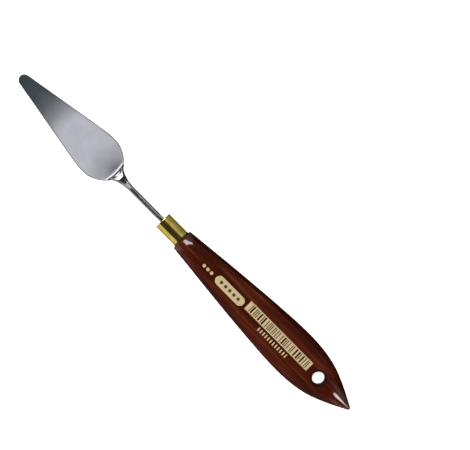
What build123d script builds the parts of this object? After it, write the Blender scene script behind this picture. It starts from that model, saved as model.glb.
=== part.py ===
from build123d import *
import math
import os

# A cranked painting knife with a trowel blade, a brass ferrule and a lacquered wooden handle.
# Millimetres. +X runs along the knife from the blade's tip to the butt of the handle, +Z is up,
# and the knife is the same on both sides of the XZ plane. The blade's flat underside lies at
# z = 0, and the origin is under the middle of the whole length.
# A station is a distance along the knife from the tip of the blade.

# ---- driving dimensions ----
overall_length = 200.0
axis_height = 8.4  # of the shank and the handle, above the blade's underside

# blade: a round tip, straight flanks at a small angle, and round shoulders down to the heel
tip_radius = 2.6
flank_angle = 9.7
flank_end = 42.5
shoulders = [(47.2, 9.85), (51.3, 9.4)]  # station, half width
heel_half_width = 7.75
heel_angle = -33.0
tip_thickness = 0.35
belly_station = 42.0
belly_thickness = 0.5
heel_thickness = 0.75

# flexing line across the heel: a rounded end on the blade in a hollow end on the neck
flex_station = 55.0
flex_gap = 0.04

# neck: a strap that narrows, thickens and climbs the crank from the heel to the shank
crank_start = 57.4
crank_angle = 60.0
lower_bend = 2.6
upper_bend = 3.0
neck_sections = [  # length along the neck from the flexing line, width, thickness
    (0.0, 2 * heel_half_width, heel_thickness),
    (2.4, 11.9, heel_thickness),
    (4.7, 7.7, 1.25),
    (7.0, 5.95, 1.65),
    (9.3, 4.7, 2.0),
    (11.6, 3.95, 2.3),
    (13.9, 3.12, 2.45),
    (15.7, 2.8, 2.5),
]
corner_share = 0.38  # corner radius of the neck's section, as a share of its thickness

# shank and tang: one rounded square bar
bar_width = 2.5
shank_start = 68.0
tang_end = 135.0
tang_point = 0.6

# ferrule: a drawn brass cup, closed in front but for the shank's hole
ferrule_front = 87.0
ferrule_back = 98.5
ferrule_radius = 4.05
ferrule_wall = 0.42
ferrule_front_wall = 0.6
ferrule_hole_radius = 1.5
ferrule_edge = 0.2

# handle: flattened ovals, round at both ends
handle_sections = [  # station, half width, half thickness, squareness
    (ferrule_back, 5.00, 5.00, 2.00),
    (103.0, 5.45, 5.42, 2.05),
    (108.0, 5.95, 5.62, 2.15),
    (120.0, 7.20, 5.92, 2.40),
    (134.0, 8.52, 6.10, 2.55),
    (148.0, 9.66, 6.20, 2.60),
    (160.0, 10.40, 6.25, 2.60),
    (168.0, 10.50, 6.25, 2.60),
    (176.0, 9.85, 6.10, 2.55),
    (183.0, 8.35, 5.60, 2.40),
    (189.0, 6.05, 4.55, 2.20),
    (195.0, 3.20, 2.70, 2.00),
    (overall_length, 0.60, 0.60, 2.00),
]
section_points = 24
shoulder_radius = 5.05
shoulder_rounding = 0.6
butt_rounding = 0.5
spigot_radius = ferrule_radius - ferrule_wall
spigot_front = ferrule_front + ferrule_front_wall

# tang bore in the handle, filled with cured adhesive round the tang
bore_radius = 1.7
bore_end = 136.5

# hang hole through the butt
hang_hole_station = 181.0
hang_hole_radius = 2.75
hang_hole_rounding = 0.4

cutter_length = 50.0  # of a cylinder that cuts right through the knife

os.makedirs("parts", exist_ok=True)


def along(station):
    """X of a station."""
    return station - overall_length / 2


def across(station, height):
    """The plane across the knife at a station, its own X along the width and its own Y upwards."""
    return Plane(origin=(along(station), 0, height), x_dir=(0, 1, 0), z_dir=(1, 0, 0))


def oval(half_width, half_thickness, squareness):
    """Points of a superellipse, which is an ellipse where squareness is 2."""
    points = []
    for step in range(section_points):
        angle = 2 * math.pi * step / section_points
        wide = half_width * abs(math.cos(angle)) ** (2 / squareness)
        tall = half_thickness * abs(math.sin(angle)) ** (2 / squareness)
        points.append((math.copysign(wide, math.cos(angle)), math.copysign(tall, math.sin(angle))))
    return points


# ---- blade: ground from a flat plate, thinner towards the tip ----
flank = math.radians(flank_angle)
heel = math.radians(heel_angle)
knuckle = heel_thickness / 2
flank_start = tip_radius * (1 - math.sin(flank))
flank_start_half = tip_radius * math.cos(flank)
flank_end_half = flank_start_half + (flank_end - flank_start) * math.tan(flank)

with BuildPart() as blade:
    with BuildSketch():
        with BuildLine():
            ThreePointArc(
                (along(0), 0),
                (along(tip_radius * (1 - math.cos(math.pi / 4))), tip_radius * math.sin(math.pi / 4)),
                (along(flank_start), flank_start_half),
            )
            Line((along(flank_start), flank_start_half), (along(flank_end), flank_end_half))
            Spline(
                (along(flank_end), flank_end_half),
                *[(along(station), half_width) for station, half_width in shoulders],
                (along(flex_station), heel_half_width),
                tangents=[(math.cos(flank), math.sin(flank)), (math.cos(heel), math.sin(heel))],
            )
            knuckle_end = (along(flex_station) + knuckle, heel_half_width + knuckle * math.tan(heel))
            Line((along(flex_station), heel_half_width), knuckle_end)
            Line(knuckle_end, (knuckle_end[0], 0))
            mirror(about=Plane.XZ)
        make_face()
    extrude(amount=heel_thickness)
    with BuildSketch(Plane.XZ):
        with BuildLine():
            Polyline(
                (along(flex_station), 0),
                (along(0), 0),
                (along(0), tip_thickness),
                (along(belly_station), belly_thickness),
                (along(flex_station), heel_thickness),
            )
            ThreePointArc(
                (along(flex_station), heel_thickness),
                (along(flex_station) + knuckle, knuckle),
                (along(flex_station), 0),
            )
        make_face()
    extrude(amount=overall_length, both=True, mode=Mode.INTERSECT)

# ---- neck, shank and tang: one forged bar, flattened where it meets the blade ----
crank_turn = math.radians(crank_angle)
bends_rise = (lower_bend + upper_bend) * (1 - math.cos(crank_turn))
slope_length = (axis_height - knuckle - bends_rise) / math.sin(crank_turn)

with BuildPart() as shank_and_tang:
    with BuildLine(Plane.XZ) as neck_line:
        Line((along(flex_station), knuckle), (along(crank_start), knuckle))
        lower_arc = JernArc((along(crank_start), knuckle), (1, 0), lower_bend, crank_angle)
        slope = Line(lower_arc @ 1, lower_arc @ 1 + (lower_arc % 1) * slope_length)
        upper_arc = JernArc(slope @ 1, slope % 1, upper_bend, -crank_angle)
        Line(upper_arc @ 1, (along(shank_start), axis_height))
    neck_path = neck_line.wire()
    for length, width, thickness in neck_sections:
        place = length / neck_path.length
        with BuildSketch(Plane(origin=neck_path @ place, x_dir=(0, 1, 0), z_dir=neck_path % place)):
            RectangleRounded(width, thickness, corner_share * thickness)
    with BuildSketch(across(shank_start, axis_height)) as bar_section:
        RectangleRounded(bar_width, bar_width, corner_share * bar_width)
    sweep(path=neck_path, multisection=True)
    extrude(bar_section.sketch, amount=tang_end - shank_start)
    chamfer(shank_and_tang.faces().sort_by(Axis.X)[-1].edges(), length=tang_point)
    with Locations(Location((along(flex_station), 0, knuckle), (90, 0, 0))):
        Cylinder(knuckle + flex_gap, cutter_length, mode=Mode.SUBTRACT)

# ---- ferrule ----
with BuildPart() as ferrule:
    with BuildSketch(across(ferrule_front, axis_height)):
        Circle(ferrule_radius)
    extrude(amount=ferrule_back - ferrule_front)
    with BuildSketch(across(spigot_front, axis_height)):
        Circle(spigot_radius)
    extrude(amount=ferrule_back - spigot_front, mode=Mode.SUBTRACT)
    with BuildSketch(across(ferrule_front, axis_height)):
        Circle(ferrule_hole_radius)
    extrude(amount=ferrule_front_wall, mode=Mode.SUBTRACT)
    rims = ferrule.edges().filter_by(GeomType.CIRCLE)
    outer_rims = rims.filter_by(lambda rim: rim.radius > (spigot_radius + ferrule_radius) / 2)
    fillet(outer_rims, radius=ferrule_edge)

# ---- handle: turned spigot and shoulder, flattened oval grip and pointed butt ----
handle_axis = Axis((0, 0, axis_height), (1, 0, 0))
shoulder_centre = (along(ferrule_back), 0, axis_height)

with BuildPart() as handle:
    for station, half_width, half_thickness, squareness in handle_sections:
        with BuildSketch(across(station, axis_height)):
            with BuildLine():
                Spline(*oval(half_width, half_thickness, squareness), periodic=True)
            make_face()
    loft()
    fillet(handle.faces().sort_by(Axis.X)[-1].edges(), radius=butt_rounding)
    with BuildSketch(Plane(origin=shoulder_centre, x_dir=(1, 0, 0), z_dir=(0, -1, 0))):
        with BuildLine():
            Polyline(
                (0, shoulder_radius - shoulder_rounding),
                (-shoulder_rounding, shoulder_radius - shoulder_rounding),
                (-shoulder_rounding, shoulder_radius + shoulder_rounding),
                (shoulder_rounding, shoulder_radius + shoulder_rounding),
                (shoulder_rounding, shoulder_radius),
            )
            RadiusArc(
                (0, shoulder_radius - shoulder_rounding),
                (shoulder_rounding, shoulder_radius),
                shoulder_rounding,
            )
        make_face()
    revolve(axis=handle_axis, mode=Mode.SUBTRACT)
    with BuildSketch(across(spigot_front, axis_height)):
        Circle(spigot_radius)
    extrude(amount=ferrule_back - spigot_front)
    with BuildSketch(across(spigot_front, axis_height)):
        Circle(bore_radius)
    extrude(amount=bore_end - spigot_front, mode=Mode.SUBTRACT)
    with Locations((along(hang_hole_station), 0, axis_height)):
        Cylinder(hang_hole_radius, cutter_length, mode=Mode.SUBTRACT)
    hole_x = along(hang_hole_station)
    hang_hole_rims = handle.edges().filter_by(
        lambda edge: abs(edge.center(CenterOf.BOUNDING_BOX).X - hole_x) < hang_hole_rounding
    )
    fillet(hang_hole_rims, radius=hang_hole_rounding)

# ---- adhesive: fills the tang bore round the tang ----
with BuildPart() as tang_adhesive:
    with BuildSketch(across(spigot_front, axis_height)):
        Circle(bore_radius)
    extrude(amount=bore_end - spigot_front)
    add(shank_and_tang.part, mode=Mode.SUBTRACT)

for name, piece in {
    "blade": blade,
    "shank_and_tang": shank_and_tang,
    "ferrule": ferrule,
    "handle": handle,
    "tang_adhesive": tang_adhesive,
}.items():
    piece.part.label = name
    export_step(piece.part, f"parts/{name}.step")
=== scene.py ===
"""A cranked painting knife: spring steel blade and neck, brass ferrule and lacquered wooden handle."""

import math
import random

import bpy
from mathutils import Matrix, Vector


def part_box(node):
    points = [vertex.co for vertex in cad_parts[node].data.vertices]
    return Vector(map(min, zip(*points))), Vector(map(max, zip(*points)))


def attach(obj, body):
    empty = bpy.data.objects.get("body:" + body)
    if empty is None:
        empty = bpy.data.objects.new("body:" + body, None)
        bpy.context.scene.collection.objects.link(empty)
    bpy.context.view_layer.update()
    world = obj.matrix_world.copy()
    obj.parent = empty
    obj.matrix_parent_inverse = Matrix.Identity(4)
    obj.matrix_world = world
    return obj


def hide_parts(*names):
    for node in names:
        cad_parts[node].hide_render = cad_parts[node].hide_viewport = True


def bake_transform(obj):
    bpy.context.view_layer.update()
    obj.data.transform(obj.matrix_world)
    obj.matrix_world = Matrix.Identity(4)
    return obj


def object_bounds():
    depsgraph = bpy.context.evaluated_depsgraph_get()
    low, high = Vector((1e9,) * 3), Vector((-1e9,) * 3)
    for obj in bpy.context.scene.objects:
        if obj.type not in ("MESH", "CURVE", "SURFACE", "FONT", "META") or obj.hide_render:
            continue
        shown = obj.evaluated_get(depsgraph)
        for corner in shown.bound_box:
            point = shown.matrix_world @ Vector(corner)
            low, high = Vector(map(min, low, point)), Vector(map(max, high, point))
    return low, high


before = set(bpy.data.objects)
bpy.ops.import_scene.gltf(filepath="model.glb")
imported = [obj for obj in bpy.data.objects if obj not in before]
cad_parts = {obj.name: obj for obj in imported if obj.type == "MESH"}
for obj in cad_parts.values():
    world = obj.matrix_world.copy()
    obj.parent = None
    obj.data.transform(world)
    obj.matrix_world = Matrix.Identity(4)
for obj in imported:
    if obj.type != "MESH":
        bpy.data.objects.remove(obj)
cad_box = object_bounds()

MM = 0.001
SHARP_ANGLE = math.radians(25)  # edges sharper than this stay sharp in the shading

# ---------------------------------------------------------------- sizes, in millimetres
# A station is a distance along the knife from the tip of the blade, as in the CAD model.

blade_low, blade_high = (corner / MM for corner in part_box("blade"))
ferrule_low, ferrule_high = (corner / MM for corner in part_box("ferrule"))
steel_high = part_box("shank_and_tang")[1] / MM
handle_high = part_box("handle")[1] / MM
glue_low, glue_high = (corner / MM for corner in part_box("tang_adhesive"))

TIP_X = blade_low.x
BUTT_X = handle_high.x
AXIS_Z = (ferrule_low.z + ferrule_high.z) / 2

TIP_RADIUS = 2.6
FLANK_ANGLE = math.radians(9.7)
STEEL_HALF_WIDTHS = [  # length along the steel from the tip, half width
    (42.5, 9.46),
    (47.2, 9.85),
    (51.3, 9.40),
    (55.0, 7.75),
    (57.4, 5.95),
    (59.7, 3.85),
    (62.0, 2.975),
    (64.3, 2.35),
    (66.6, 1.975),
    (68.9, 1.56),
    (70.7, 1.40),
    (72.0, 1.25),
]
STEEL_THICKNESSES = [  # length along the steel from the tip, thickness
    (0.0, 0.35),
    (42.0, 0.50),
    (57.4, 0.75),
    (59.7, 1.25),
    (62.0, 1.65),
    (64.3, 2.00),
    (66.6, 2.30),
    (68.9, 2.45),
    (70.7, 2.50),
]
CRANK_START = 57.4
CRANK_ANGLE = math.radians(60)
LOWER_BEND = 2.6
UPPER_BEND = 3.0
HEEL_THICKNESS = blade_high.z
CORNER_SHARE = 0.38  # radius of the steel's round corners, as a share of its thickness
BLADE_EDGE = 0.36  # width of the slope ground along the blade's edge
BLADE_EDGE_SHARE = 0.44  # height of that slope, as a share of the blade's thickness
BLADE_EDGE_FADE = 4.0  # length before the crank over which the slope runs out
WIDEST_EDGE = 0.9  # as a share of the half width
BLADE_SATIN = (-50, -41)  # x where the blade's satin polish starts to clear, and where the neck is bright
NECK_HOLLOWS = [  # length along the steel from the tip, rise of the edges over the middle
    (57.4, 0.0),
    (59.7, 0.60),
    (62.0, 0.36),
    (65.0, 0.02),
    (67.0, -0.20),
    (69.5, -0.12),
    (72.0, 0.0),
]
TANG_POINT = 0.6  # bevel round the end of the tang

FERRULE_RADIUS = (ferrule_high.z - ferrule_low.z) / 2
FERRULE_WALL = 0.42
FERRULE_FRONT_WALL = 0.6
FERRULE_HOLE_RADIUS = 1.5
FERRULE_HOLE_BEVEL = 0.12
FERRULE_EDGE = 0.2
FERRULE_LIP = 0.07
FERRULE_LIP_WIDTH = 0.55
FERRULE_WALL_START = 1.0  # from either end to the plain wall
FERRULE_FIT = 0.02  # gap between the ferrule and the handle's spigot

HANDLE_SECTIONS = [  # station, half width, half thickness, squareness
    (98.5, 5.00, 5.00, 2.00),
    (103.0, 5.45, 5.42, 2.05),
    (108.0, 5.95, 5.62, 2.15),
    (120.0, 7.20, 5.92, 2.40),
    (134.0, 8.52, 6.10, 2.55),
    (148.0, 9.66, 6.20, 2.60),
    (160.0, 10.40, 6.25, 2.60),
    (168.0, 10.50, 6.25, 2.60),
    (176.0, 9.85, 6.10, 2.55),
    (183.0, 8.35, 5.60, 2.40),
    (189.0, 6.05, 4.55, 2.20),
    (195.0, 3.20, 2.70, 2.00),
    (200.0, 0.60, 0.60, 2.00),
]
SHOULDER_ROUNDING = 0.6
BUTT_ROUNDING = 0.6
SPIGOT_RADIUS = FERRULE_RADIUS - FERRULE_WALL
BORE_RADIUS = (glue_high.z - glue_low.z) / 2
HOLE_STATION = 181.0
HOLE_X = TIP_X + HOLE_STATION
HOLE_RADIUS = 2.75
HOLE_ROUNDING = 0.4
HANDLE_AROUND = 96  # points round the handle
HANDLE_END_STEPS = 8
BLOCK_HALF = 7  # steps from the hang hole's middle to the edge of the mesh patch round it
BLOCK_PITCH = 0.66


# ---------------------------------------------------------------- small maths


def smooth_curve(points):
    """A function through (place, value) points, whose slope at each is the mean of the slopes beside it."""
    places = [place for place, value in points]
    values = [value for place, value in points]
    steps = [(values[i + 1] - values[i]) / (places[i + 1] - places[i]) for i in range(len(points) - 1)]
    slopes = [steps[0]] + [(a + b) / 2 for a, b in zip(steps, steps[1:])] + [steps[-1]]

    def at(place):
        i = max(0, min(len(points) - 2, sum(p <= place for p in places) - 1))
        width = places[i + 1] - places[i]
        t = max(0.0, min(1.0, (place - places[i]) / width))
        return (
            (2 * t**3 - 3 * t**2 + 1) * values[i]
            + (t**3 - 2 * t**2 + t) * width * slopes[i]
            + (3 * t**2 - 2 * t**3) * values[i + 1]
            + (t**3 - t**2) * width * slopes[i + 1]
        )

    return at


def straight_curve(points):
    """A function that runs straight from each (place, value) point to the next."""

    def at(place):
        for (start, low), (end, high) in zip(points, points[1:]):
            if place <= end:
                return low + (high - low) * max(0.0, place - start) / (end - start)
        return points[-1][1]

    return at


def spread(start, end, count):
    """count + 1 evenly spaced numbers from start to end."""
    return [start + (end - start) * i / count for i in range(count + 1)]


# ---------------------------------------------------------------- mesh helpers


def mesh_piece(name, points, faces, material):
    """A smooth-shaded object from points in millimetres."""
    mesh = bpy.data.meshes.new(name)
    mesh.from_pydata([(x * MM, y * MM, z * MM) for x, y, z in points], [], faces)
    mesh.validate()
    mesh.shade_smooth()
    mesh.set_sharp_from_angle(angle=SHARP_ANGLE)
    mesh.materials.append(material)
    piece = bpy.data.objects.new(name, mesh)
    bpy.context.scene.collection.objects.link(piece)
    return piece


def tube_faces(loops, around, left_open=()):
    """Quads between loops of as many points, in order, but for the (loop, place) pairs left open."""
    faces = []
    for i in range(loops - 1):
        for j in range(around):
            if (i, j) in left_open:
                continue
            k = (j + 1) % around
            a = i * around
            b = a + around
            faces.append((a + j, a + k, b + k, b + j))
    return faces


def lathe(name, profile, around, material):
    """A closed ring or body turned about the knife's axis from a closed (x, radius) profile."""
    points = []
    for x, radius in profile:
        for j in range(around):
            angle = 2 * math.pi * j / around
            points.append((x, radius * math.cos(angle), AXIS_Z + radius * math.sin(angle)))
    faces = tube_faces(len(profile), around)
    last = (len(profile) - 1) * around
    for j in range(around):
        k = (j + 1) % around
        faces.append((last + j, last + k, k, j))
    return mesh_piece(name, points, faces, material)


def corner(centre_x, centre_r, radius, start, end, steps=6):
    """Points of an arc in a lathe profile, between two angles in degrees."""
    angles = [math.radians(angle) for angle in spread(start, end, steps)]
    return [(centre_x + radius * math.cos(a), centre_r + radius * math.sin(a)) for a in angles]


# ---------------------------------------------------------------- node helpers


def new_material(name):
    material = bpy.data.materials.new(name)
    material.use_nodes = True
    nodes = material.node_tree.nodes
    nodes.clear()
    output = nodes.new("ShaderNodeOutputMaterial")
    shader = nodes.new("ShaderNodeBsdfPrincipled")
    material.node_tree.links.new(shader.outputs[0], output.inputs[0])
    return material, shader


def node(tree, kind, values=None, **settings):
    """A new node with its settings, and its input sockets set to values or linked to sockets."""
    made = tree.nodes.new("ShaderNode" + kind)
    for name, value in settings.items():
        setattr(made, name, value)
    for name, value in (values or {}).items():
        if isinstance(value, bpy.types.NodeSocket):
            tree.links.new(value, made.inputs[name])
        else:
            made.inputs[name].default_value = value
    return made


def stretched_noise(tree, stretch, detail=4.0, roughness=0.5, distortion=0.0):
    """Noise over the piece's own coordinates, with a number of cells per metre along each axis."""
    place = node(tree, "TexCoord").outputs["Object"]
    mapped = node(tree, "Mapping", {"Vector": place, "Scale": stretch}).outputs[0]
    return node(
        tree,
        "TexNoise",
        {
            "Vector": mapped,
            "Scale": 1.0,
            "Detail": detail,
            "Roughness": roughness,
            "Distortion": distortion,
        },
    ).outputs["Fac"]


def ramp(tree, value, stops):
    """A colour ramp from (place, colour) stops."""
    made = node(tree, "ValToRGB", {"Fac": value})
    elements = made.color_ramp.elements
    while len(elements) > 1:
        elements.remove(elements[0])
    elements[0].position, elements[0].color = stops[0][0], (*stops[0][1], 1)
    for place, colour in stops[1:]:
        elements.new(place).color = (*colour, 1)
    return made.outputs["Color"]


def scaled(tree, value, low, high):
    """A 0 to 1 value spread over another range."""
    return node(tree, "MapRange", {"Value": value, "To Min": low, "To Max": high}).outputs["Result"]


# ---------------------------------------------------------------- materials


def steel_material():
    """Polished spring steel with fine lengthwise grinding marks and faint cloudy wear, satin on the blade."""
    material, shader = new_material("spring_steel")
    tree = material.node_tree
    marks = stretched_noise(tree, (220, 9000, 9000), detail=3.0)
    clouds = stretched_noise(tree, (160, 160, 160), detail=2.0)
    tone = ramp(tree, clouds, [(0.3, (0.60, 0.605, 0.635)), (0.7, (0.655, 0.655, 0.69))])
    place = node(tree, "TexCoord").outputs["Object"]
    along = node(tree, "SeparateXYZ", {"Vector": place}).outputs["X"]
    satin = node(
        tree,
        "MapRange",
        {
            "Value": along,
            "From Min": BLADE_SATIN[0] * MM,
            "From Max": BLADE_SATIN[1] * MM,
            "To Min": 0.08,
            "To Max": 0.0,
        },
    ).outputs["Result"]
    rough = node(tree, "Math", {0: scaled(tree, marks, 0.02, 0.06), 1: satin}, operation="ADD").outputs[0]
    bump = node(tree, "Bump", {"Height": marks, "Strength": 0.03, "Distance": 0.00002}).outputs[0]
    tree.links.new(tone, shader.inputs["Base Color"])
    tree.links.new(rough, shader.inputs["Roughness"])
    tree.links.new(bump, shader.inputs["Normal"])
    shader.inputs["Metallic"].default_value = 1.0
    return material


def brass_material():
    """Drawn brass: bright, with turning lines round it and a little tarnish."""
    material, shader = new_material("brass")
    tree = material.node_tree
    lines = stretched_noise(tree, (9000, 300, 300), detail=3.0)
    tarnish = stretched_noise(tree, (350, 350, 350), detail=5.0, roughness=0.6)
    tone = ramp(
        tree,
        tarnish,
        [(0.25, (0.58, 0.43, 0.085)), (0.55, (0.76, 0.59, 0.130)), (0.8, (0.82, 0.66, 0.175))],
    )
    rough = scaled(tree, lines, 0.07, 0.11)
    bump = node(tree, "Bump", {"Height": lines, "Strength": 0.015, "Distance": 0.00002}).outputs[0]
    tree.links.new(tone, shader.inputs["Base Color"])
    tree.links.new(rough, shader.inputs["Roughness"])
    tree.links.new(bump, shader.inputs["Normal"])
    shader.inputs["Metallic"].default_value = 1.0
    return material


def hang_hole_painted_shade(tree):
    """A mask of painted shade: 0.85 at the rim of the hang hole, falling to 0 a little way out."""
    place = node(tree, "TexCoord").outputs["Object"]
    flat = node(tree, "VectorMath", {0: place, 1: (1, 1, 0)}, operation="MULTIPLY").outputs[0]
    hole = (HOLE_X * MM, 0, 0)
    from_hole = node(tree, "VectorMath", {0: flat, 1: hole}, operation="DISTANCE").outputs["Value"]
    return node(
        tree,
        "MapRange",
        {
            "Value": from_hole,
            "From Min": (HOLE_RADIUS + 0.5) * MM,
            "From Max": (HOLE_RADIUS + 1.1) * MM,
            "To Min": 0.85,
            "To Max": 0.0,
        },
        interpolation_type="SMOOTHSTEP",
    ).outputs["Result"]


def wood_material():
    """Dark red-brown hardwood under gloss lacquer: long soft streaks, thin light lines and fine pores, with
    painted shade that turns the colour near black round the hang hole's rim.
    """
    material, shader = new_material("lacquered_wood")
    tree = material.node_tree
    streaks = stretched_noise(tree, (13, 300, 300), detail=4.0, roughness=0.5, distortion=0.7)
    lines = stretched_noise(tree, (24, 1150, 1150), detail=3.0, roughness=0.6, distortion=0.3)
    fine = stretched_noise(tree, (60, 2600, 2600), detail=3.0, roughness=0.6)
    pores = stretched_noise(tree, (170, 6500, 6500), detail=1.0)
    grain = node(tree, "Math", {0: streaks, 1: scaled(tree, lines, -0.20, 0.20)}, operation="ADD").outputs[0]
    grain = node(tree, "Math", {0: grain, 1: scaled(tree, fine, -0.10, 0.10)}, operation="ADD").outputs[0]
    tone = ramp(
        tree,
        grain,
        [
            (0.30, (0.0190, 0.0020, 0.0004)),
            (0.46, (0.0340, 0.0040, 0.0008)),
            (0.56, (0.0480, 0.0066, 0.0015)),
            (0.66, (0.0720, 0.0145, 0.0050)),
            (0.78, (0.0960, 0.0270, 0.0120)),
        ],
    )
    pore_mask = node(
        tree, "MapRange", {"Value": pores, "From Min": 0.66, "From Max": 0.74, "To Min": 0.0, "To Max": 0.55}
    ).outputs["Result"]
    pored = node(
        tree,
        "Mix",
        {"Factor": pore_mask, "A": tone, "B": (0.010, 0.002, 0.001, 1)},
        data_type="RGBA",
    ).outputs["Result"]
    # Painted shade: the wood's colour turns near black round the hang hole's rim.
    hole_shade_mask = hang_hole_painted_shade(tree)
    shaded = node(
        tree,
        "Mix",
        {"Factor": hole_shade_mask, "A": pored, "B": (0.006, 0.0015, 0.001, 1)},
        data_type="RGBA",
    ).outputs["Result"]
    tree.links.new(shaded, shader.inputs["Base Color"])
    tree.links.new(scaled(tree, fine, 0.35, 0.55), shader.inputs["Roughness"])
    bump = node(tree, "Bump", {"Height": fine, "Strength": 0.12, "Distance": 0.00003}).outputs[0]
    tree.links.new(bump, shader.inputs["Normal"])
    shader.inputs["Specular IOR Level"].default_value = 0.0
    shader.inputs["Coat Weight"].default_value = 1.0
    shader.inputs["Coat Roughness"].default_value = 0.05
    shader.inputs["Coat IOR"].default_value = 1.5
    return material


def ink_material():
    """Flat ivory ink with a slightly uneven cover."""
    material, shader = new_material("printed_mark")
    tree = material.node_tree
    cover = stretched_noise(tree, (2500, 2500, 2500), detail=2.0)
    tone = ramp(tree, cover, [(0.3, (0.29, 0.215, 0.100)), (0.6, (0.43, 0.335, 0.170))])
    tree.links.new(tone, shader.inputs["Base Color"])
    tree.links.new(scaled(tree, cover, 0.4, 0.6), shader.inputs["Roughness"])
    return material


def dark_ink_material():
    """Thin brown ink over the ivory."""
    material, shader = new_material("dark_mark")
    tree = material.node_tree
    cover = stretched_noise(tree, (2500, 2500, 2500), detail=2.0)
    tone = ramp(tree, cover, [(0.3, (0.030, 0.012, 0.006)), (0.7, (0.060, 0.025, 0.012))])
    tree.links.new(tone, shader.inputs["Base Color"])
    tree.links.new(scaled(tree, cover, 0.4, 0.6), shader.inputs["Roughness"])
    return material


def glue_material():
    """Cured amber adhesive."""
    material, shader = new_material("tang_adhesive")
    tree = material.node_tree
    cloud = stretched_noise(tree, (600, 600, 600), detail=3.0)
    tone = ramp(tree, cloud, [(0.3, (0.42, 0.28, 0.10)), (0.7, (0.60, 0.44, 0.20))])
    tree.links.new(tone, shader.inputs["Base Color"])
    tree.links.new(scaled(tree, cloud, 0.35, 0.6), shader.inputs["Roughness"])
    return material


STEEL = steel_material()
BRASS = brass_material()
WOOD = wood_material()
INK = ink_material()
DARK_INK = dark_ink_material()
GLUE = glue_material()


# ---------------------------------------------------------------- steel: blade, neck, shank and tang

shoulder_half_width = smooth_curve(STEEL_HALF_WIDTHS)
steel_thickness = straight_curve(STEEL_THICKNESSES)
neck_hollow = smooth_curve(NECK_HOLLOWS)
edge_width = straight_curve([(CRANK_START - BLADE_EDGE_FADE, BLADE_EDGE), (CRANK_START, 0.0)])
flank_start = TIP_RADIUS * (1 - math.sin(FLANK_ANGLE))
rise_of_bends = (LOWER_BEND + UPPER_BEND) * (1 - math.cos(CRANK_ANGLE))
slope_length = (AXIS_Z - HEEL_THICKNESS / 2 - rise_of_bends) / math.sin(CRANK_ANGLE)
lower_arc_length = LOWER_BEND * CRANK_ANGLE
upper_arc_length = UPPER_BEND * CRANK_ANGLE
crank_run = (LOWER_BEND + UPPER_BEND) * math.sin(CRANK_ANGLE) + slope_length * math.cos(CRANK_ANGLE)
crank_length = lower_arc_length + slope_length + upper_arc_length
STEEL_LENGTH = steel_high.x - TIP_X - crank_run + crank_length


def steel_half_width(length):
    if length <= flank_start:
        return math.sqrt(max(0.0, TIP_RADIUS**2 - (TIP_RADIUS - length) ** 2))
    if length <= STEEL_HALF_WIDTHS[0][0]:
        return TIP_RADIUS * math.cos(FLANK_ANGLE) + (length - flank_start) * math.tan(FLANK_ANGLE)
    return shoulder_half_width(length)


def steel_centre(length):
    """(x, z, slope) of the steel's centreline at a length from the tip."""
    past = length - CRANK_START
    x, z = TIP_X + CRANK_START, HEEL_THICKNESS / 2
    if past <= 0:
        return TIP_X + length, steel_thickness(length) / 2, 0.0
    if past <= lower_arc_length:
        angle = past / LOWER_BEND
        return x + LOWER_BEND * math.sin(angle), z + LOWER_BEND * (1 - math.cos(angle)), angle
    x += LOWER_BEND * math.sin(CRANK_ANGLE)
    z += LOWER_BEND * (1 - math.cos(CRANK_ANGLE))
    past -= lower_arc_length
    if past <= slope_length:
        return x + past * math.cos(CRANK_ANGLE), z + past * math.sin(CRANK_ANGLE), CRANK_ANGLE
    x += slope_length * math.cos(CRANK_ANGLE)
    z += slope_length * math.sin(CRANK_ANGLE)
    past -= slope_length
    if past <= upper_arc_length:
        angle = CRANK_ANGLE - past / UPPER_BEND
        x += UPPER_BEND * (math.sin(CRANK_ANGLE) - math.sin(angle))
        z += UPPER_BEND * (math.cos(angle) - math.cos(CRANK_ANGLE))
        return x, z, angle
    return TIP_X + CRANK_START + crank_run + past - upper_arc_length, AXIS_Z, 0.0


def quarter_turn(start, share, straight):
    """(x, z) a share of the way along a quarter of a unit circle from the start angle, in degrees. It lies on
    the arc where straight is 0 and on the arc's chord where straight is 1."""
    a, b = math.radians(start + 90 * share), math.radians(start)
    chord_x = (1 - share) * math.cos(b) - share * math.sin(b)
    chord_z = (1 - share) * math.sin(b) + share * math.cos(b)
    return (
        straight * chord_x + (1 - straight) * math.cos(a),
        straight * chord_z + (1 - straight) * math.sin(a),
    )


def bar_section(half_width, thickness, edge, hollow, flat_steps=16, side_steps=2, corner_steps=5):
    """(across, up) points round a rectangle, bent so that its sides stand higher. Its corners are round
    where edge is zero, and turn into straight slopes where edge is BLADE_EDGE."""
    straight = edge / BLADE_EDGE
    radius = (CORNER_SHARE + (BLADE_EDGE_SHARE - CORNER_SHARE) * straight) * thickness
    edge = min(max(radius, edge), WIDEST_EDGE * half_width)
    wide, tall = half_width - edge, thickness / 2 - radius
    section = []
    for side_x, side_z, start in ((1, -1, -90), (1, 1, 0), (-1, 1, 90), (-1, -1, 180)):
        for share in spread(0, 1, corner_steps):
            out, rise = quarter_turn(start, share, straight)
            section.append((side_x * wide + edge * out, side_z * tall + radius * rise))
        upright = start in (-90, 90)
        reach, steps = (2 * tall, side_steps) if upright else (2 * wide, flat_steps)
        x, z = section[-1]
        a = math.radians(start + 90)
        for along in spread(0, reach, steps)[1:-1]:
            section.append((x - along * math.sin(a), z + along * math.cos(a)))
    return [(x, z + hollow * (x / half_width) ** 2) for x, z in section]


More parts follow.
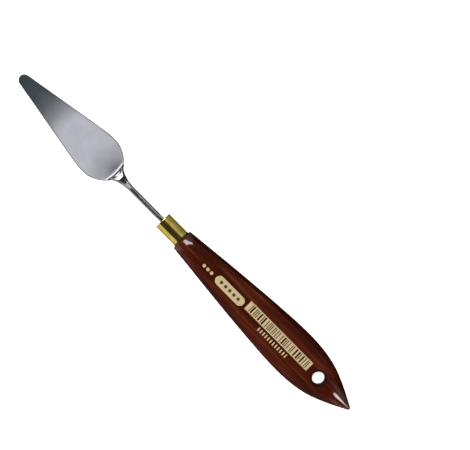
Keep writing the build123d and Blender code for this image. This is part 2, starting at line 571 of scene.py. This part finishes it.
def steel_lengths():
    """Places of the steel's sections along it, closest together round the tip and through the crank."""
    tip_steps = 14
    neck_start, neck_end = STEEL_HALF_WIDTHS[0][0], STEEL_HALF_WIDTHS[-1][0]
    crank_end = CRANK_START + crank_length
    lengths = [flank_start * (1 - math.cos(turn)) for turn in spread(0, math.pi / 2, tip_steps)[1:]]
    for start, end, steps in (
        (flank_start, neck_start, 34),
        (neck_start, CRANK_START, 30),
        (CRANK_START, crank_end, 66),
        (crank_end, neck_end, 4),
        (neck_end, STEEL_LENGTH - TANG_POINT, 24),
    ):
        lengths += spread(start, end, steps)[1:]
    return lengths


def make_steel():
    """The blade, neck, shank and tang in one piece."""
    sections = [(length, steel_half_width(length), steel_thickness(length)) for length in steel_lengths()]
    length, half_width, thickness = sections[-1]
    sections.append((STEEL_LENGTH, half_width - TANG_POINT, thickness - 2 * TANG_POINT))
    points = []
    for length, half_width, thickness in sections:
        x, z, slope = steel_centre(length)
        for across, up in bar_section(half_width, thickness, edge_width(length), neck_hollow(length)):
            points.append((x - up * math.sin(slope), across, z + up * math.cos(slope)))
    around = len(points) // len(sections)
    faces = tube_faces(len(sections), around)
    faces.append(tuple(reversed(range(around))))
    faces.append(tuple(range(len(points) - around, len(points))))
    piece = mesh_piece("steel", points, faces, STEEL)
    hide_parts("blade", "shank_and_tang")
    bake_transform(piece)


# ---------------------------------------------------------------- ferrule


def make_ferrule():
    """A drawn cup with a small rolled lip at each end."""
    front, back = ferrule_low.x, ferrule_high.x
    hole, edge = FERRULE_HOLE_RADIUS, FERRULE_EDGE
    wall = FERRULE_RADIUS - FERRULE_LIP
    lip_end = FERRULE_LIP_WIDTH + FERRULE_LIP
    inside = SPIGOT_RADIUS + FERRULE_FIT
    profile = [(front + FERRULE_HOLE_BEVEL, hole), (front, hole + FERRULE_HOLE_BEVEL)]
    profile += corner(front + edge, FERRULE_RADIUS - edge, edge, 180, 90)
    profile += [(front + FERRULE_LIP_WIDTH, FERRULE_RADIUS), (front + lip_end, wall)]
    profile += [(x, wall) for x in spread(front + FERRULE_WALL_START, back - FERRULE_WALL_START, 10)]
    profile += [(back - lip_end, wall), (back - FERRULE_LIP_WIDTH, FERRULE_RADIUS)]
    profile += corner(back - edge, FERRULE_RADIUS - edge, edge, 90, 0)
    profile += [(back, inside), (front + FERRULE_FRONT_WALL, inside)]
    profile += [(front + FERRULE_FRONT_WALL, hole)]
    piece = lathe("ferrule_shell", profile, 128, BRASS)
    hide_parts("ferrule")
    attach(piece, "handle")


# ---------------------------------------------------------------- handle

table_half_width = smooth_curve([(s + TIP_X, width) for s, width, thick, square in HANDLE_SECTIONS])
table_half_thickness = smooth_curve([(s + TIP_X, thick) for s, width, thick, square in HANDLE_SECTIONS])
table_squareness = smooth_curve([(s + TIP_X, square) for s, width, thick, square in HANDLE_SECTIONS])
SHOULDER_X = HANDLE_SECTIONS[0][0] + TIP_X


def handle_section(x):
    """(half width, half thickness, squareness) of the handle, with its rounded shoulder and butt."""
    half_width, half_thickness = table_half_width(x), table_half_thickness(x)
    from_shoulder = x - SHOULDER_X
    if from_shoulder < SHOULDER_ROUNDING:
        cut = SHOULDER_ROUNDING - math.sqrt(
            SHOULDER_ROUNDING**2 - (SHOULDER_ROUNDING - from_shoulder) ** 2
        )
        half_width, half_thickness = half_width - cut, half_thickness - cut
    from_butt = BUTT_X - x
    if from_butt < BUTT_ROUNDING:
        share = math.sqrt(max(0.0, 1 - (1 - from_butt / BUTT_ROUNDING) ** 2))
        half_width, half_thickness = half_width * share, half_thickness * share
    return half_width, half_thickness, table_squareness(x)


def handle_height(x, y):
    """Height of the handle's upper surface above its own axis."""
    half_width, half_thickness, squareness = handle_section(x)
    across = min(1.0, abs(y) / half_width)
    return half_thickness * (1 - across**squareness) ** (1 / squareness)


def handle_loop(x):
    """Points round the handle, from its +Y side over the top."""
    half_width, half_thickness, squareness = handle_section(x)
    loop = []
    for j in range(HANDLE_AROUND):
        angle = 2 * math.pi * j / HANDLE_AROUND
        c, s = math.cos(angle), math.sin(angle)
        y = math.copysign(half_width * abs(c) ** (2 / squareness), c)
        z = math.copysign(half_thickness * abs(s) ** (2 / squareness), s)
        loop.append((x, y, AXIS_Z + z))
    return loop


def circle_loop(x, radius):
    """As many points round a circle about the handle's axis."""
    angles = [2 * math.pi * j / HANDLE_AROUND for j in range(HANDLE_AROUND)]
    return [(x, radius * math.cos(angle), AXIS_Z + radius * math.sin(angle)) for angle in angles]


def handle_stations():
    """Places of the handle's loops from its shoulder to its butt, and the number of the loop where the patch
    round the hang hole starts."""
    end_turns = spread(0, math.pi / 2, HANDLE_END_STEPS)
    block_start = HOLE_X - BLOCK_HALF * BLOCK_PITCH
    block_end = HOLE_X + BLOCK_HALF * BLOCK_PITCH
    stations = [SHOULDER_X + SHOULDER_ROUNDING * (1 - math.cos(turn)) for turn in end_turns]
    stations += spread(stations[-1], block_start, 130)[1:]
    block_row = len(stations) - 1
    stations += spread(block_start, block_end, 2 * BLOCK_HALF)[1:]
    stations += spread(block_end, BUTT_X - BUTT_ROUNDING, 24)[1:]
    stations += [BUTT_X - BUTT_ROUNDING * (1 - math.sin(turn)) for turn in end_turns[1:-1]]
    return stations, block_row


def hole_block(side, first_row):
    """The square left open round the hang hole in the upper (side 1) or lower (side -1) face: the numbers of
    the points along its edge, in order, and the (loop, place) pairs of its quads."""
    across = range(-BLOCK_HALF, BLOCK_HALF + 1)
    columns = [(side * (HANDLE_AROUND // 4 + k)) % HANDLE_AROUND for k in across]
    rows = range(first_row, first_row + 2 * BLOCK_HALF + 1)
    edge = [rows[0] * HANDLE_AROUND + column for column in columns]
    edge += [row * HANDLE_AROUND + columns[-1] for row in rows[1:]]
    edge += [rows[-1] * HANDLE_AROUND + column for column in reversed(columns[:-1])]
    edge += [row * HANDLE_AROUND + columns[0] for row in reversed(rows[1:-1])]
    quads = {(row, min(pair)) for row in rows[:-1] for pair in zip(columns, columns[1:])}
    return edge, quads


def ring_faces(ring, new, side):
    """Quads between two rings of as many points, facing up for side 1 and down for side -1."""
    faces = []
    for a in range(len(ring)):
        b = (a + 1) % len(ring)
        quad = (ring[a], ring[b], new[b], new[a])
        faces.append(quad if side > 0 else tuple(reversed(quad)))
    return faces


def hole_patch(points, edge, side):
    """Fills the square left open round the hang hole, from its edge in to the hole's wall. Returns the faces
    and the ring of points on the wall."""
    outer = HOLE_RADIUS + HOLE_ROUNDING
    angles = [math.atan2(points[i][1], points[i][0] - HOLE_X) for i in edge]
    starts = [(points[i][0], points[i][1]) for i in edge]
    rows = []
    for share in (0.3, 0.6, 0.85, 1.0):
        row = []
        for (x, y), angle in zip(starts, angles):
            px = x + (HOLE_X + outer * math.cos(angle) - x) * share
            py = y + (outer * math.sin(angle) - y) * share
            row.append((px, py, AXIS_Z + side * handle_height(px, py)))
        rows.append(row)
    rim = rows[-1]
    for turn in spread(0, math.pi / 2, 6)[1:]:
        radius = outer - HOLE_ROUNDING * math.sin(turn)
        drop = HOLE_ROUNDING * (1 - math.cos(turn))
        rows.append(
            [
                (HOLE_X + radius * math.cos(angle), radius * math.sin(angle), z - side * drop)
                for angle, (x, y, z) in zip(angles, rim)
            ]
        )
    faces, ring = [], edge
    for row in rows:
        new = list(range(len(points), len(points) + len(row)))
        points.extend(row)
        faces += ring_faces(ring, new, side)
        ring = new
    return faces, ring


def hole_wall(points, top, bottom):
    """Quads down the hang hole, between the rings of points at the upper and the lower end of its wall."""
    faces, ring = [], top
    for share in (0.25, 0.5, 0.75):
        new = list(range(len(points), len(points) + len(top)))
        for high, low in zip(top, bottom):
            points.append(tuple(a + (b - a) * share for a, b in zip(points[high], points[low])))
        faces += ring_faces(ring, new, 1)
        ring = new
    return faces + ring_faces(ring, bottom, 1)


def fan(points, centre, loop):
    """Triangles from a loop of points to a new point at its centre."""
    points.append(centre)
    middle = len(points) - 1
    return [(a, b, middle) for a, b in zip(loop, loop[1:] + loop[:1])]


def without_loose_points(points, faces):
    used = sorted({i for face in faces for i in face})
    place = {old: new for new, old in enumerate(used)}
    return [points[i] for i in used], [tuple(place[i] for i in face) for face in faces]


def make_handle():
    """The bore, the spigot and the grip as one tube, with a patch on each face round the hang hole."""
    loops = [
        circle_loop(glue_high.x, BORE_RADIUS),
        circle_loop(glue_low.x, BORE_RADIUS),
        circle_loop(glue_low.x, SPIGOT_RADIUS),
        circle_loop(SHOULDER_X, SPIGOT_RADIUS),
    ]
    stations, block_row = handle_stations()
    first_row = len(loops) + block_row
    loops += [handle_loop(x) for x in stations]
    points = [point for loop in loops for point in loop]

    upper_edge, upper_quads = hole_block(1, first_row)
    lower_edge, lower_quads = hole_block(-1, first_row)
    faces = tube_faces(len(loops), HANDLE_AROUND, upper_quads | lower_quads)
    upper_faces, top = hole_patch(points, upper_edge, 1)
    lower_faces, bottom = hole_patch(points, lower_edge, -1)
    faces += upper_faces + lower_faces + hole_wall(points, top, bottom)

    last_loop = list(range((len(loops) - 1) * HANDLE_AROUND, len(loops) * HANDLE_AROUND))
    faces += fan(points, (BUTT_X, 0, AXIS_Z), last_loop)
    faces += fan(points, (glue_high.x, 0, AXIS_Z), list(reversed(range(HANDLE_AROUND))))
    points, faces = without_loose_points(points, faces)
    piece = mesh_piece("handle_grip", points, faces, WOOD)
    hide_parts("handle")
    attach(piece, "handle")


# ---------------------------------------------------------------- printed marks
# Generic marks: dots, a plain badge, a striped panel that encodes nothing, and a row of dashes. x runs along
# the knife from its middle.

INK_ABOVE = 0.03  # over the wood
INK_BELOW = 0.06
DARK_INK_LIFT = 0.02  # of the dark spots over the ivory badge
DOT_WIDTH = 1.5
DOTS_X = (12.4, 14.6, 16.8)  # where each dot starts
DOTS_Y = -1.6
BADGE_X = (20.2, 36.4)
BADGE_Y = (-2.75, 1.45)
SPOTS_X = spread(22.6, 32.5, 4)
SPOTS_Y = -1.4
PANEL_X = (37.8, 74.9)
PANEL_Y = (-1.53, 2.85)
PANEL_BORDER = 0.42
STRIPE = 0.39  # every stripe and gap in the panel is a few of these wide
END_STRIPE = 5  # in stripes
DASHES_X = spread(48.1, 64.1, 11)
DASHES_Y = (-4.2, -2.5)
DASH_WIDTH = 0.6


def print_patch(points, faces, rows, lift):
    """A thin closed patch of ink that lies on the handle's upper face. rows is a grid of (x, y)."""
    first = len(points)
    high, wide = len(rows), len(rows[0])
    for level in (INK_ABOVE + lift, -INK_BELOW):
        for row in rows:
            points.extend((x, y, AXIS_Z + handle_height(x, y) + level) for x, y in row)

    def upper(i, j):
        return first + i * wide + j

    def lower(i, j):
        return upper(i, j) + high * wide

    def side(a, b):
        faces.append((upper(*a), lower(*a), lower(*b), upper(*b)))

    for i in range(high - 1):
        for j in range(wide - 1):
            square = [(i, j), (i + 1, j), (i + 1, j + 1), (i, j + 1)]
            faces.append(tuple(upper(*place) for place in square))
            faces.append(tuple(lower(*place) for place in reversed(square)))
        side((i, 0), (i + 1, 0))
        side((i + 1, wide - 1), (i, wide - 1))
    for j in range(wide - 1):
        side((0, j + 1), (0, j))
        side((high - 1, j), (high - 1, j + 1))


def rectangle(x0, x1, y0, y1):
    """Grid rows of a rectangle, fine enough to follow the handle."""
    along = max(1, round((x1 - x0) / 1.0))
    across = max(1, round((y1 - y0) / 0.5))
    return [[(x, y) for y in spread(y0, y1, across)] for x in spread(x0, x1, along)]


def capsule(x0, x1, y0, y1, steps=28):
    """Grid rows of a bar with round ends."""
    radius = (y1 - y0) / 2
    middle = (y0 + y1) / 2
    rows = []
    for turn in spread(0, math.pi, steps):
        x = (x0 + x1) / 2 - (x1 - x0) / 2 * math.cos(turn)
        inset = max(0.0, radius - (x - x0), radius - (x1 - x))
        half = math.sqrt(max(0.0004, radius**2 - inset**2))
        rows.append([(x, y) for y in spread(middle - half, middle + half, 6)])
    return rows


def ink_piece(name, patches, material, lift=0.0):
    """Patches of ink on the handle, as one piece that moves with it."""
    points, faces = [], []
    for rows in patches:
        print_patch(points, faces, rows, lift)
    piece = mesh_piece(name, points, faces, material)
    for polygon in piece.data.polygons:
        polygon.use_smooth = False
    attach(piece, "handle")


def panel_stripes():
    """(start, end) of each stripe of the panel: a broad one at each end and random ones between."""
    chance = random.Random(4)
    left, right = PANEL_X
    stripes = []
    x = left
    while x < right - 0.01:
        width = STRIPE * chance.choice((1, 1, 2, 2, 3))
        if x == left or x > right - END_STRIPE * STRIPE:
            width = END_STRIPE * STRIPE
        end = min(x + width, right)
        stripes.append((x, end))
        x = end + STRIPE * chance.choice((1, 1, 2))
    return stripes


def make_print():
    dots = [capsule(x, x + DOT_WIDTH, DOTS_Y, DOTS_Y + DOT_WIDTH, 12) for x in DOTS_X]
    ink_piece("printed_dots", dots, INK)

    ink_piece("printed_badge", [capsule(*BADGE_X, *BADGE_Y)], INK)
    spots = [capsule(x, x + DOT_WIDTH, SPOTS_Y, SPOTS_Y + DOT_WIDTH, 12) for x in SPOTS_X]
    ink_piece("printed_badge_spots", spots, DARK_INK, DARK_INK_LIFT)

    low, high = PANEL_Y
    panel = [rectangle(*PANEL_X, low, low + PANEL_BORDER), rectangle(*PANEL_X, high - PANEL_BORDER, high)]
    panel += [rectangle(*stripe, low + PANEL_BORDER, high - PANEL_BORDER) for stripe in panel_stripes()]
    ink_piece("printed_panel", panel, INK)

    dashes = [rectangle(x, x + DASH_WIDTH, *DASHES_Y) for x in DASHES_X]
    ink_piece("printed_dashes", dashes, INK)


make_steel()
make_ferrule()
make_handle()
make_print()
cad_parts["tang_adhesive"].data.materials.clear()
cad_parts["tang_adhesive"].data.materials.append(GLUE)


# ---------------------------------------------------------------- stage, light and camera

FLOOR_HALF = 3.0  # in metres
FLOOR_GAP = 0.00005  # in metres, below the knife
FLOOR_GLOW = 0.85


def make_floor():
    material, shader = new_material("floor")
    shader.inputs["Base Color"].default_value = (0.92, 0.92, 0.92, 1)
    shader.inputs["Roughness"].default_value = 0.9
    shader.inputs["Specular IOR Level"].default_value = 0.0
    shader.inputs["Emission Color"].default_value = (1, 1, 1, 1)
    shader.inputs["Emission Strength"].default_value = FLOOR_GLOW
    mesh = bpy.data.meshes.new("floor")
    h = FLOOR_HALF
    mesh.from_pydata([(-h, -h, 0), (h, -h, 0), (h, h, 0), (-h, h, 0)], [], [(0, 1, 2, 3)])
    mesh.materials.append(material)
    floor = bpy.data.objects.new("floor", mesh)
    floor.location.z = cad_box[0].z - FLOOR_GAP
    floor.visible_glossy = False
    floor.visible_diffuse = False
    bpy.context.scene.collection.objects.link(floor)


# What shiny surfaces see round the knife, by the angle from straight up: positive towards -Y and negative
# towards +Y.
ROOM = [
    (-180, 0.02),
    (-150, 0.10),
    (-120, 0.20),
    (-80, 0.33),
    (-60, 0.42),
    (-50, 0.54),
    (-34, 0.62),
    (-26, 0.50),
    (-18, 0.055),
    (42, 0.040),
    (53, 0.18),
    (60, 0.74),
    (78, 0.84),
    (100, 0.70),
    (130, 0.55),
    (155, 0.30),
    (180, 0.02),
]
# Round lights: direction, the angles from it where the light is full and where it is gone, and strength.
WINDOW = ((-0.835, -0.02, 0.55), 5, 7, 5.0)
LAMP = ((0.69, 0.0, 0.72), 7, 11, 14.0)
SKY = ((-0.25, -0.50, 0.83), 0, 105, 1.55)
SKY_LOW = 0.10


def round_light(tree, direction, centre, inner, outer, strength):
    """Strength of a soft round light, as seen along direction."""
    toward = node(
        tree, "VectorMath", {0: direction, 1: Vector(centre).normalized()}, operation="DOT_PRODUCT"
    ).outputs["Value"]
    return node(
        tree,
        "MapRange",
        {
            "Value": toward,
            "From Min": math.cos(math.radians(outer)),
            "From Max": math.cos(math.radians(inner)),
            "To Min": 0.0,
            "To Max": strength,
        },
        interpolation_type="SMOOTHSTEP",
    ).outputs["Result"]


def make_room():
    """Bands and round lights for shiny surfaces, one soft sky for dull ones, and white behind."""
    world = bpy.data.worlds.new("studio")
    bpy.context.scene.world = world
    world.use_nodes = True
    tree = world.node_tree
    tree.nodes.clear()
    direction = node(tree, "TexCoord").outputs["Generated"]
    axes = node(tree, "SeparateXYZ", {"Vector": direction}).outputs
    flipped = node(tree, "Math", {0: axes["Y"], 1: -1.0}, operation="MULTIPLY").outputs[0]
    tilt = node(tree, "Math", {0: flipped, 1: axes["Z"]}, operation="ARCTAN2").outputs[0]
    share = node(
        tree, "MapRange", {"Value": tilt, "From Min": -math.pi, "From Max": math.pi}
    ).outputs["Result"]
    strongest = max(strength for angle, strength in ROOM)
    band = ramp(
        tree,
        share,
        [((angle + 180) / 360, (strength / strongest,) * 3) for angle, strength in ROOM],
    )
    bands = node(tree, "Math", {0: band, 1: strongest}, operation="MULTIPLY").outputs[0]
    total = bands
    for light in (WINDOW, LAMP):
        total = node(
            tree, "Math", {0: total, 1: round_light(tree, direction, *light)}, operation="ADD"
        ).outputs[0]
    sky = round_light(tree, direction, *SKY)
    sky = node(tree, "Math", {0: sky, 1: SKY_LOW}, operation="ADD").outputs[0]
    path = node(tree, "LightPath").outputs
    shiny = node(tree, "Background", {"Color": (1, 1, 1, 1), "Strength": total})
    dull = node(tree, "Background", {"Color": (1, 1, 1, 1), "Strength": sky})
    backdrop = node(tree, "Background", {"Color": (1, 1, 1, 1), "Strength": 1.0})
    room = node(
        tree, "MixShader", {0: path["Is Diffuse Ray"], 1: shiny.outputs[0], 2: dull.outputs[0]}
    )
    mixed = node(tree, "MixShader", {0: path["Is Camera Ray"], 1: room.outputs[0], 2: backdrop.outputs[0]})
    output = node(tree, "OutputWorld")
    tree.links.new(mixed.outputs[0], output.inputs["Surface"])


def make_card(name, corners, strength, stops=None):
    """A glowing or dark card that only shiny surfaces see. corners are in millimetres, and stops give the
    colour of a level card by the distance from NECK_X."""
    material = bpy.data.materials.new(name)
    material.use_nodes = True
    tree = material.node_tree
    tree.nodes.clear()
    emission = node(tree, "Emission", {"Color": (1, 1, 1, 1), "Strength": strength})
    if stops:
        place = node(tree, "TexCoord").outputs["Object"]
        neck = (NECK_X * MM, 0, corners[0][2] * MM)
        away = node(tree, "VectorMath", {0: place, 1: neck}, operation="DISTANCE").outputs["Value"]
        low, high = stops[0][0], stops[-1][0]
        share = node(
            tree, "MapRange", {"Value": away, "From Min": low * MM, "From Max": high * MM}
        ).outputs["Result"]
        glow = ramp(tree, share, [((reach - low) / (high - low), colour) for reach, colour in stops])
        tree.links.new(glow, emission.inputs["Color"])
    output = node(tree, "OutputMaterial")
    tree.links.new(emission.outputs[0], output.inputs["Surface"])
    mesh = bpy.data.meshes.new(name)
    mesh.from_pydata([(x * MM, y * MM, z * MM) for x, y, z in corners], [], [(0, 1, 2, 3)])
    mesh.materials.append(material)
    card = bpy.data.objects.new(name, mesh)
    card.visible_camera = False
    card.visible_diffuse = False
    card.visible_shadow = False
    card.visible_transmission = False
    bpy.context.scene.collection.objects.link(card)


def level_card(name, ends, sides, z, strength, stops=None):
    """A card in a plane of constant z, between two x and two y."""
    (x0, x1), (y0, y1) = ends, sides
    make_card(name, [(x0, y0, z), (x1, y0, z), (x1, y1, z), (x0, y1, z)], strength, stops)


def long_card(name, ends, y, lower, upper, strength):
    """A card in a plane of constant y, with the heights of its lower and upper edges at its two ends."""
    x0, x1 = ends
    corners = [(x0, y, lower[0]), (x1, y, lower[1]), (x1, y, upper[1]), (x0, y, upper[0])]
    make_card(name, corners, strength)


def cross_card(name, x, sides, heights, strength):
    """A card in a plane of constant x, between two y and two z."""
    (y0, y1), (z0, z1) = sides, heights
    make_card(name, [(x, y0, z0), (x, y1, z0), (x, y1, z1), (x, y0, z1)], strength)


CARD_Z = 60  # height of the level cards over the steel
NECK_X = -46.5  # where the camera sees the neck's own place mirrored in a level card
BLADE_GLOW = [  # distance from NECK_X, colour seen in the blade
    (0, (0.16, 0.16, 0.16)),
    (3, (0.40, 0.40, 0.41)),
    (6.5, (0.63, 0.63, 0.65)),
    (11.5, (0.82, 0.82, 0.85)),
    (15, (0.90, 0.90, 0.95)),
    (29.5, (0.90, 0.90, 0.95)),
    (35.5, (0.44, 0.45, 0.475)),
    (41.5, (0.16, 0.175, 0.19)),
    (48.5, (0.070, 0.092, 0.100)),
    (85, (0.070, 0.092, 0.100)),
]


def make_cards():
    """What the blade, the shank and the handle's shoulder mirror, and dark flags that draw their edges."""
    level_card("blade_glow", (-115, -34), (-45, 45), CARD_Z, 0.80, BLADE_GLOW)
    level_card("shoulder_light", (-74, -54), (-5, 330), 313, 12.0)
    level_card("shank_light", (-29, -16), (-0.5, 2.5), CARD_Z, 2.6)
    cross_card("neck_flag", -43.2, (-4, 4), (4.5, 58), 0.04)
    steel, handle = (-110, -16), (-2, 110)
    long_card("steel_flag_far", steel, 22, (-4, -4), (26, 26), 0.01)
    long_card("steel_flag_near", steel, -22, (-4, -4), (12, 12), 0.01)
    long_card("handle_flag_low", handle, 25, (-12, -12), (15, 28), 0.005)
    long_card("handle_flag_high", handle, 25, (17.5, 30.5), (85, 85), 0.07)
    long_card("handle_flag_near", handle, -25, (-15, -15), (34, 34), 0.10)


LAMP_PLACE = Vector((-0.1, -0.55, 0.6))  # in metres
LAMP_TARGET = Vector((0.02, 0, 0))
LAMP_SIZE = 0.5
LAMP_POWER = 2.0


def make_lamp():
    light = bpy.data.lights.new("key", "AREA")
    light.shape = "SQUARE"
    light.size = LAMP_SIZE
    light.energy = LAMP_POWER
    lamp = bpy.data.objects.new("key", light)
    lamp.location = LAMP_PLACE
    lamp.rotation_euler = (LAMP_TARGET - LAMP_PLACE).to_track_quat("-Z", "Y").to_euler()
    lamp.visible_glossy = False
    bpy.context.scene.collection.objects.link(lamp)


VIEW_CENTRE = Vector((10.06 * MM, 20.48 * MM, 0))  # the middle of the picture on the floor
VIEW_WIDTH = 200.45 * MM
VIEW_TURN = math.radians(45.3)
LENS = 200.0
SENSOR_WIDTH = 36.0


def make_camera():
    """Straight above the knife, with the picture's width at the middle of the knife's height."""
    camera = bpy.data.cameras.new("camera")
    camera.lens = LENS
    camera.sensor_width = SENSOR_WIDTH
    distance = VIEW_WIDTH * LENS / SENSOR_WIDTH
    thing = bpy.data.objects.new("camera", camera)
    thing.location = VIEW_CENTRE + Vector((0, 0, distance + 0.5 * AXIS_Z * MM))
    thing.rotation_euler = (0, 0, VIEW_TURN)
    bpy.context.scene.collection.objects.link(thing)
    bpy.context.scene.camera = thing


make_floor()
make_room()
make_cards()
make_lamp()
make_camera()
bpy.context.scene.view_settings.view_transform = "Standard"
bpy.context.scene.view_settings.look = "None"
